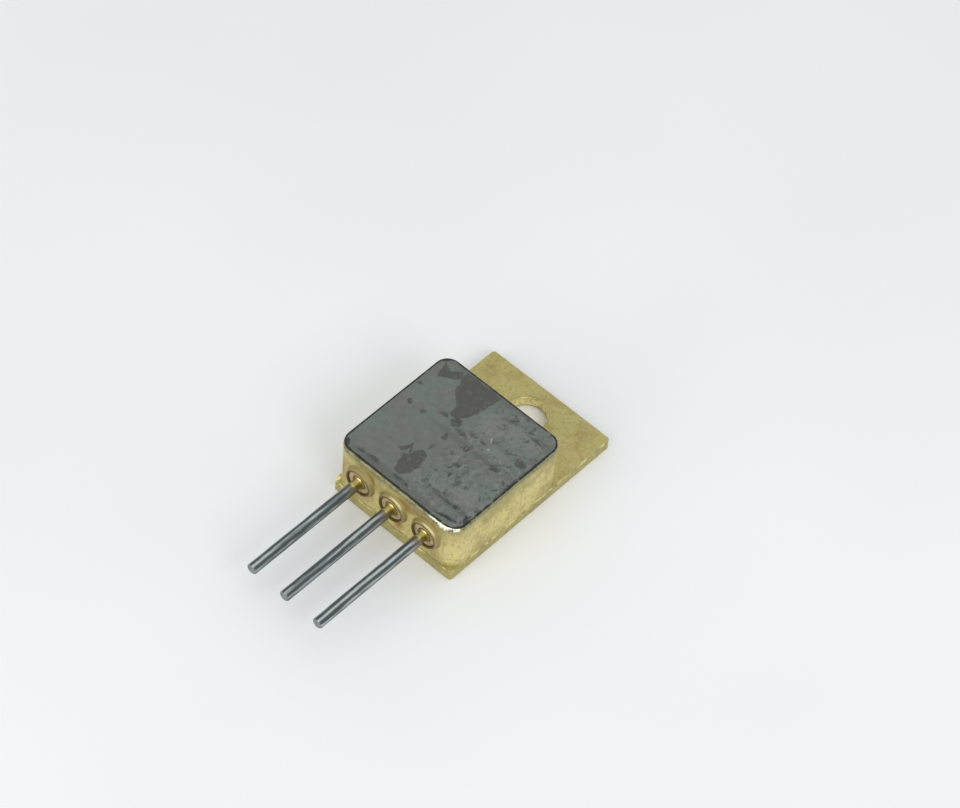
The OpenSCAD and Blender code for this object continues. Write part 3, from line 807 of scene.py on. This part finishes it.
class TRANSISTOR_OT_side_frame(bpy.types.Operator):
    """Build the gold-plated frame with its cavity and the holes for the eyelets"""

    bl_idname = "transistor.side_frame"
    bl_label = "Side frame"

    def execute(self, context):
        sizes = context.scene.transistor_plate
        edge = sizes.frame_edge * PER_METRE
        corner = sizes.frame_corner * PER_METRE
        wall = sizes.wall * PER_METRE
        outline = (FRAME_LOW.x, FRAME_LOW.y, FRAME_HIGH.x, FRAME_HIGH.y, corner)
        mesh = bmesh.new()
        steps = [(0.0, FRAME_LOW.z)]
        steps += [(inset, FRAME_HIGH.z - drop) for inset, drop in rounding(edge)]
        steps += [(wall, FRAME_HIGH.z), (wall, FRAME_LOW.z)]
        skin(mesh, [add_loop(mesh, round_rect(*outline, inset), height)
                    for inset, height in steps], closed=True)
        material = plate_finish("wall gold", sizes, sizes.wall_gold, True)
        piece = make_piece("plated_frame", mesh, material, ["frame"])
        cutter = self.eyelet_cutter(sizes.eyelet_hole * PER_METRE)
        piece.modifiers.clear()
        cut = piece.modifiers.new("Eyelet holes", "BOOLEAN")
        cut.object = cutter
        cut.solver = "EXACT"
        evaluated(piece)
        bpy.data.objects.remove(cutter)
        smooth(piece, 35.0)
        return {"FINISHED"}

    @staticmethod
    def eyelet_cutter(radius):
        """Three cylinders through the front wall."""
        mesh = bmesh.new()
        reach = 0.5
        ends = [(radius, RING_HIGH.y + reach), (radius, FRAME_LOW.y - reach)]
        for number in LEADS:
            loops = turned_loops(mesh, ends, lead_x(number), 64)
            skin(mesh, loops)
            close_end(mesh, loops[0])
            close_end(mesh, loops[1])
        bmesh.ops.recalc_face_normals(mesh, faces=mesh.faces)
        data = bpy.data.meshes.new("eyelet_cutter")
        mesh.to_mesh(data)
        mesh.free()
        cutter = bpy.data.objects.new("eyelet_cutter", data)
        bpy.context.scene.collection.objects.link(cutter)
        return cutter


class TRANSISTOR_OT_lid_bead(bpy.types.Operator):
    """Build the uneven solder bead that fills the ledge round the lid"""

    bl_idname = "transistor.lid_bead"
    bl_label = "Solder bead"

    def execute(self, context):
        sizes = context.scene.transistor_lid
        corner = sizes.corner * PER_METRE
        frame_corner = context.scene.transistor_plate.frame_corner * PER_METRE
        wall = context.scene.transistor_plate.wall * PER_METRE
        top = sizes.bead_top * PER_METRE
        rounds = {"corner_steps": 24, "side_steps": 110}
        inner = round_rect(FRAME_LOW.x + wall, FRAME_LOW.y + wall, FRAME_HIGH.x - wall,
                           FRAME_HIGH.y - wall, frame_corner - wall, 0.0, **rounds)
        lid_edge = round_rect(LID_LOW.x, LID_LOW.y, LID_HIGH.x, LID_HIGH.y, corner, 0.02, **rounds)
        outside = round_rect(FRAME_LOW.x, FRAME_LOW.y, FRAME_HIGH.x, FRAME_HIGH.y,
                             frame_corner, -0.02, **rounds)
        rise = [self.rise(point, top) for point in lid_edge]
        flow = [self.flow(point) for point in lid_edge]
        mesh = bmesh.new()
        loops = [self.level(mesh, inner, [SEAL_LOW.z] * len(inner)),
                 self.level(mesh, inner, [SEAL_HIGH.z] * len(inner)),
                 self.level(mesh, lid_edge, [SEAL_HIGH.z] * len(inner))]
        face_steps = 7
        for step in range(face_steps + 1):
            share = step / face_steps
            turn = share * math.pi / 2
            points = []
            heights = []
            for near, far, lift, sag in zip(lid_edge, outside, rise, flow):
                points.append(near.lerp(far, math.sin(turn)))
                drop = (1 - math.cos(turn)) * (lift + sag)
                heights.append(SEAL_HIGH.z + lift - drop)
            loops.append(self.level(mesh, points, heights))
        skin(mesh, loops, closed=True)
        make_piece("solder_bead", mesh, bead_finish(sizes), ["lid_seal"], 60.0)
        return {"FINISHED"}

    @staticmethod
    def level(mesh, points, heights):
        return [mesh.verts.new((point.x * MM, point.y * MM, height * MM))
                for point, height in zip(points, heights)]

    @staticmethod
    def rise(point, top):
        """Height of the solder on the lid's edge, fullest at the front right corner."""
        uneven = noise.noise(Vector((point.x * 0.9, point.y * 0.9, 3.0)))
        fine = noise.noise(Vector((point.x * 2.7, point.y * 2.7, 8.0)))
        corner = math.exp(-((point.x - 5.6) ** 2 + (point.y + 16.9) ** 2) / 0.9)
        return min(top * (1 + 0.35 * uneven + 0.2 * fine) + 0.08 * corner, 0.29)

    @staticmethod
    def flow(point):
        """How far the solder runs down the frame's face below its top."""
        uneven = noise.noise(Vector((point.x * 0.8, point.y * 0.8, 14.0)))
        return 0.12 + 0.09 * uneven


class TRANSISTOR_OT_lid(bpy.types.Operator):
    """Build the grey lid with its rounded edge and the step under it"""

    bl_idname = "transistor.lid"
    bl_label = "Lid"

    def execute(self, context):
        sizes = context.scene.transistor_lid
        edge = sizes.edge * PER_METRE
        corner = sizes.corner * PER_METRE
        wall = context.scene.transistor_plate.wall * PER_METRE
        frame_corner = context.scene.transistor_plate.frame_corner * PER_METRE
        step_gap = 0.2
        outline = (LID_LOW.x, LID_LOW.y, LID_HIGH.x, LID_HIGH.y, corner)
        cavity = (FRAME_LOW.x + wall, FRAME_LOW.y + wall, FRAME_HIGH.x - wall,
                  FRAME_HIGH.y - wall, frame_corner - wall)
        mesh = bmesh.new()
        loops = [add_loop(mesh, round_rect(*cavity, step_gap, 24), LID_LOW.z),
                 add_loop(mesh, round_rect(*cavity, step_gap, 24), SEAL_HIGH.z)]
        loops.append(add_loop(mesh, round_rect(*outline, 0.0, 24), SEAL_HIGH.z))
        loops += [add_loop(mesh, round_rect(*outline, inset, 24), LID_HIGH.z - drop)
                  for inset, drop in rounding(edge)]
        skin(mesh, loops)
        close_end(mesh, loops[0])
        close_end(mesh, loops[-1])
        make_piece("metal_lid", mesh, lid_finish(sizes), ["lid"])
        return {"FINISHED"}


class TRANSISTOR_OT_eyelets(bpy.types.Operator):
    """Build the three gold-plated eyelets with rounded lips"""

    bl_idname = "transistor.eyelets"
    bl_label = "Eyelets"

    def execute(self, context):
        sizes = context.scene.transistor_seal
        material = eyelet_finish(sizes)
        lip = sizes.lip * PER_METRE
        lip_radius = (RING_HIGH.x - RING_LOW.x) / 2
        bore = lip_radius - 2 * lip
        barrel = bore + lip
        face = FRAME_LOW.y
        proud = face - RING_LOW.y
        flare = ((0.08, 0.0), (0.03, 0.07), (0.0, 0.18), (-0.03, 0.38), (-0.08, 0.62),
                 (-0.14, 0.82), (-0.2, 0.94), (-0.26, 1.0), (-0.31, 0.98), (-0.35, 0.9),
                 (-0.38, 0.76), (-0.4, 0.56))
        profile = [(bore, RING_HIGH.y), (barrel, RING_HIGH.y), (barrel, face)]
        profile += [(lip_radius + wider, face - proud * share) for wider, share in flare]
        for number in LEADS:
            mesh = bmesh.new()
            skin(mesh, turned_loops(mesh, profile, lead_x(number), 72), closed=True)
            make_piece(f"eyelet_{number}", mesh, material, [f"seal_ring_{number}"])
        return {"FINISHED"}


class TRANSISTOR_OT_ceramics(bpy.types.Operator):
    """Build the ceramic that holds each lead in its eyelet"""

    bl_idname = "transistor.ceramics"
    bl_label = "Ceramic seals"

    def execute(self, context):
        sizes = context.scene.transistor_seal
        material = ceramic_finish(sizes)
        rise = sizes.swell * PER_METRE
        outer = (BUSH_HIGH.x - BUSH_LOW.x) / 2
        inner = context.scene.transistor_lead.shank * PER_METRE + 0.01
        face_steps = 12
        profile = [(outer, BUSH_HIGH.y), (inner, BUSH_HIGH.y)]
        for step in range(face_steps + 1):
            share = step / face_steps
            swell = rise * (1 - (2 * share - 1) ** 2)
            profile.append((inner + (outer - inner) * share, BUSH_LOW.y - swell))
        for number in LEADS:
            mesh = bmesh.new()
            skin(mesh, turned_loops(mesh, profile, lead_x(number), 64), closed=True)
            make_piece(f"ceramic_{number}", mesh, material,
                       [f"ceramic_bush_{number}"])
        return {"FINISHED"}


class TRANSISTOR_OT_leads(bpy.types.Operator):
    """Build the three leads: post inside, shank, gold root and uneven solder coat"""

    bl_idname = "transistor.leads"
    bl_label = "Leads"

    def execute(self, context):
        sizes = context.scene.transistor_lead
        material = lead_finish(sizes)
        radius = sizes.radius * PER_METRE
        shank = sizes.shank * PER_METRE
        tip = sizes.tip * PER_METRE
        unevenness = sizes.unevenness * PER_METRE
        post_root = LEAD_HIGH.y - 1.5
        bare = radius - 0.06
        fillet = ((0.19, 0.0), (0.15, 0.012), (0.09, 0.025), (0.05, 0.045), (0.02, 0.08), (0.0, 0.14))
        profile = [(shank, post_root)]
        profile += [(bare + wider, BUSH_LOW.y - along) for wider, along in fillet]
        profile += [(bare, BUSH_LOW.y - 0.6), (radius, BUSH_LOW.y - 0.85)]
        stations = 84
        start = BUSH_LOW.y - 1.0
        end = LEAD_LOW.y + tip
        for step in range(stations + 1):
            profile.append((radius, start + (end - start) * step / stations))
        for step in range(1, 7):
            turn = math.pi / 2 * step / 7
            profile.append((radius - tip * (1 - math.cos(turn)), end - tip * math.sin(turn)))
        profile.append((radius - tip, LEAD_LOW.y))
        for number in LEADS:
            mesh = bmesh.new()

            def wobble(turn, along, number=number):
                if along > start:
                    return 0.0
                where = Vector((math.sin(turn) * 0.5, along * 0.45, math.cos(turn) * 0.5))
                swell = noise.noise(where + Vector((number * 7.3, 0.0, 2.0)))
                lumps = noise.noise(where * 3.1 + Vector((number * 3.9, 5.0, 0.0)))
                return unevenness * min(max(0.5 + 0.5 * swell + 0.3 * lumps, 0.0), 1.0)

            loops = turned_loops(mesh, profile, lead_x(number), 48, wobble)
            skin(mesh, loops)
            close_end(mesh, loops[0])
            close_end(mesh, loops[-1])
            self.add_post(mesh, lead_x(number), post_root)
            make_piece(f"dipped_lead_{number}", mesh, material, [f"lead_{number}"])
        return {"FINISHED"}

    @staticmethod
    def add_post(mesh, axis_x, root):
        """Flattened post at the lead's inner end, with rounded long edges."""
        half_width = 0.8
        half_height = 0.25
        corner = 0.08
        section = round_rect(-half_width, -half_height, half_width, half_height, corner, 0.0, 4)
        loops = []
        for along, inset in ((root, 0.0), (LEAD_HIGH.y - 0.05, 0.0), (LEAD_HIGH.y, 0.05)):
            shrink = 1 - inset / half_height
            loops.append([mesh.verts.new((
                (axis_x + point.x * shrink) * MM, along * MM,
                (LEAD_AXIS_Z + point.y * shrink) * MM)) for point in section])
        skin(mesh, loops)
        close_end(mesh, loops[0])
        close_end(mesh, loops[-1])


class TRANSISTOR_OT_inside(bpy.types.Operator):
    """Give the pieces sealed inside their own finishes, on their CAD meshes"""

    bl_idname = "transistor.inside"
    bl_label = "Inside pieces"

    def execute(self, context):
        sizes = context.scene.transistor_inside
        pad = plain_finish("pad gold", sizes.pad, linear(178, 154, 84), 1.2, 0.3, 0.9)
        wire = plain_finish("bond aluminium", sizes.wire, linear(196, 198, 202), 3.0, 0.3, 0.9,
                            stretch=(3.0, 0.4, 1.0))
        finishes = {
            "isolator": plain_finish(
                "isolator ceramic", sizes.isolator, linear(222, 220, 212), 2.0, 0.45, 0.0),
            "die_pad": pad,
            "drain_strap": pad,
            "die_solder": plain_finish(
                "chip solder", sizes.solder, linear(138, 140, 144), 2.5, 0.35, 0.8, 0.03),
            "die": silicon_finish(sizes),
            "gate_wire": wire,
        }
        for number in LEADS:
            finishes[f"source_wire_{number}"] = wire
        for name, material in finishes.items():
            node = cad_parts[name]
            if not node.material_slots:
                node.data.materials.append(material)
            for slot in node.material_slots:
                slot.material = material
        return {"FINISHED"}


class TRANSISTOR_OT_stage(bpy.types.Operator):
    """Set the pale floor, the soft lamps, the white surroundings and the camera"""

    bl_idname = "transistor.stage"
    bl_label = "Stage"

    def execute(self, context):
        sizes = context.scene.transistor_stage
        self.add_floor(sizes)
        self.add_world(context.scene)
        self.add_lamp("soft_top", Vector((0.2, 0.35, 0.9)), 0.42, 0.4, 0.1)
        self.add_lamp("soft_front", Vector((-0.1, -0.9, 0.42)), 0.42, 0.34, 0.38)
        self.add_lamp("soft_right", Vector((0.8, -0.25, 0.65)), 0.4, 0.18, 0.25)
        self.add_camera(context.scene, sizes)
        context.scene.view_settings.view_transform = "Standard"
        return {"FINISHED"}

    @staticmethod
    def add_floor(sizes):
        """Pale floor just under the base plate."""
        half = 2.0
        drop = 0.02 * MM
        corners = [(-half, -half, -drop), (half, -half, -drop), (half, half, -drop), (-half, half, -drop)]
        data = bpy.data.meshes.new("floor")
        data.from_pydata(corners, [], [(0, 1, 2, 3)])
        floor = bpy.data.objects.new("floor", data)
        bpy.context.scene.collection.objects.link(floor)
        finish = Finish("floor", Specular_IOR_Level=0.2)
        soft = finish.noise(0.02, 2.0, 0.5)
        shade = finish.blend(sizes.floor, linear(240, 241, 242), soft)
        data.materials.append(finish.dress(shade, 0.8))
        white = finish.node("ShaderNodeEmission", {}, {"Color": (1.0, 1.0, 1.0), "Strength": 1.0})
        seen = finish.node("ShaderNodeLightPath", {}, {}, "Is Camera Ray")
        finish.show(finish.node("ShaderNodeMixShader", {}, {
            0: seen * sizes.glow, 1: finish.shader, 2: white}))

    @staticmethod
    def add_world(scene):
        """White surroundings for the camera and for gloss, softer as a light."""
        world = bpy.data.worlds.new("white surroundings")
        world.use_nodes = True
        scene.world = world
        tree = NodeTree(world.node_tree)
        camera = tree.node("ShaderNodeLightPath", {}, {}, "Is Camera Ray")
        gloss = camera.output("Is Glossy Ray")
        shown = camera.most(gloss).most(camera.output("Is Transmission Ray"))
        fill = tree.node("ShaderNodeBackground", {}, {"Color": (0.95, 0.98, 1.0), "Strength": 0.62})
        white = tree.node("ShaderNodeBackground", {}, {"Color": (1.0, 1.0, 1.0), "Strength": 1.0})
        mixed = tree.node("ShaderNodeMixShader", {}, {0: shown, 1: fill, 2: white})
        tree.node("ShaderNodeOutputWorld", {}, {"Surface": mixed}, None)

    @staticmethod
    def add_lamp(name, direction, distance, size, level):
        """Square soft lamp that adds `level` to how brightly a white surface shows."""
        target = Vector((0.0, -0.012, 0.003))
        lamp = bpy.data.lights.new(name, "AREA")
        lamp.shape = "SQUARE"
        lamp.size = size
        lamp.energy = level * math.pi ** 2 * distance ** 2
        holder = bpy.data.objects.new(name, lamp)
        bpy.context.scene.collection.objects.link(holder)
        toward = direction.normalized()
        holder.location = target + toward * distance
        holder.rotation_euler = toward.to_track_quat("Z", "Y").to_euler()

    @staticmethod
    def add_camera(scene, sizes):
        """Camera at the photograph's angle. One point of the base fixes where it stands."""
        base_point = Vector((0.0, BASE_LOW.y, 0.0))
        pixel_x, pixel_y = 390.80, 533.80
        depth = 300.05
        width, height = 960.0, 808.0
        sensor = 36.0
        focal = sizes.lens / sensor * width
        turn, rise = sizes.azimuth, sizes.elevation
        back = Vector((math.sin(turn) * math.cos(rise), -math.cos(turn) * math.cos(rise),
                       math.sin(rise)))
        level = Vector((math.cos(turn), math.sin(turn), 0.0))
        upright = back.cross(level)
        right = level * math.cos(sizes.roll) + upright * math.sin(sizes.roll)
        above = back.cross(right)
        spot = (base_point - right * (pixel_x - width / 2) * depth / focal
                + above * (pixel_y - height / 2) * depth / focal + back * depth)
        data = bpy.data.cameras.new("camera")
        data.sensor_width = sensor
        data.sensor_fit = "HORIZONTAL"
        data.lens = sizes.lens
        data.clip_start = 0.01
        data.clip_end = 10.0
        camera = bpy.data.objects.new("camera", data)
        scene.collection.objects.link(camera)
        axes = Matrix((right, above, back)).transposed().to_4x4()
        camera.matrix_world = Matrix.Translation(spot * MM) @ axes
        scene.camera = camera


class TRANSISTOR_PT_panel(bpy.types.Panel):
    """Sidebar panel with a button and the settings of each group of pieces"""

    bl_idname = "TRANSISTOR_PT_panel"
    bl_label = "Flange power transistor"
    bl_space_type = "VIEW_3D"
    bl_region_type = "UI"
    bl_category = "Transistor"

    def draw(self, context):
        for step, settings in BUILD_STEPS:
            self.layout.operator(f"transistor.{step}")
        for name in SETTINGS:
            box = self.layout.box()
            group = getattr(context.scene, name)
            for key in group.bl_rna.properties.keys():
                if key not in ("rna_type", "name"):
                    box.prop(group, key)


SETTINGS = {
    "transistor_plate": PlateSettings,
    "transistor_lid": LidSettings,
    "transistor_seal": SealSettings,
    "transistor_lead": LeadSettings,
    "transistor_inside": InsideSettings,
    "transistor_stage": StageSettings,
}
OPERATORS = (
    TRANSISTOR_OT_base_plate, TRANSISTOR_OT_side_frame, TRANSISTOR_OT_lid_bead,
    TRANSISTOR_OT_lid, TRANSISTOR_OT_eyelets, TRANSISTOR_OT_ceramics, TRANSISTOR_OT_leads,
    TRANSISTOR_OT_inside, TRANSISTOR_OT_stage,
)
BUILD_STEPS = [(operator.bl_idname.split(".")[1], operator.bl_label) for operator in OPERATORS]


def register():
    for group in SETTINGS.values():
        bpy.utils.register_class(group)
    for name, group in SETTINGS.items():
        setattr(bpy.types.Scene, name, bpy.props.PointerProperty(type=group))
    for operator in OPERATORS:
        bpy.utils.register_class(operator)
    bpy.utils.register_class(TRANSISTOR_PT_panel)


def unregister():
    bpy.utils.unregister_class(TRANSISTOR_PT_panel)
    for operator in reversed(OPERATORS):
        bpy.utils.unregister_class(operator)
    for name, group in SETTINGS.items():
        delattr(bpy.types.Scene, name)
        bpy.utils.unregister_class(group)


def main():
    """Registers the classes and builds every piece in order."""
    register()
    for step, label in BUILD_STEPS:
        getattr(bpy.ops.transistor, step)()


if __name__ == "__main__":
    main()
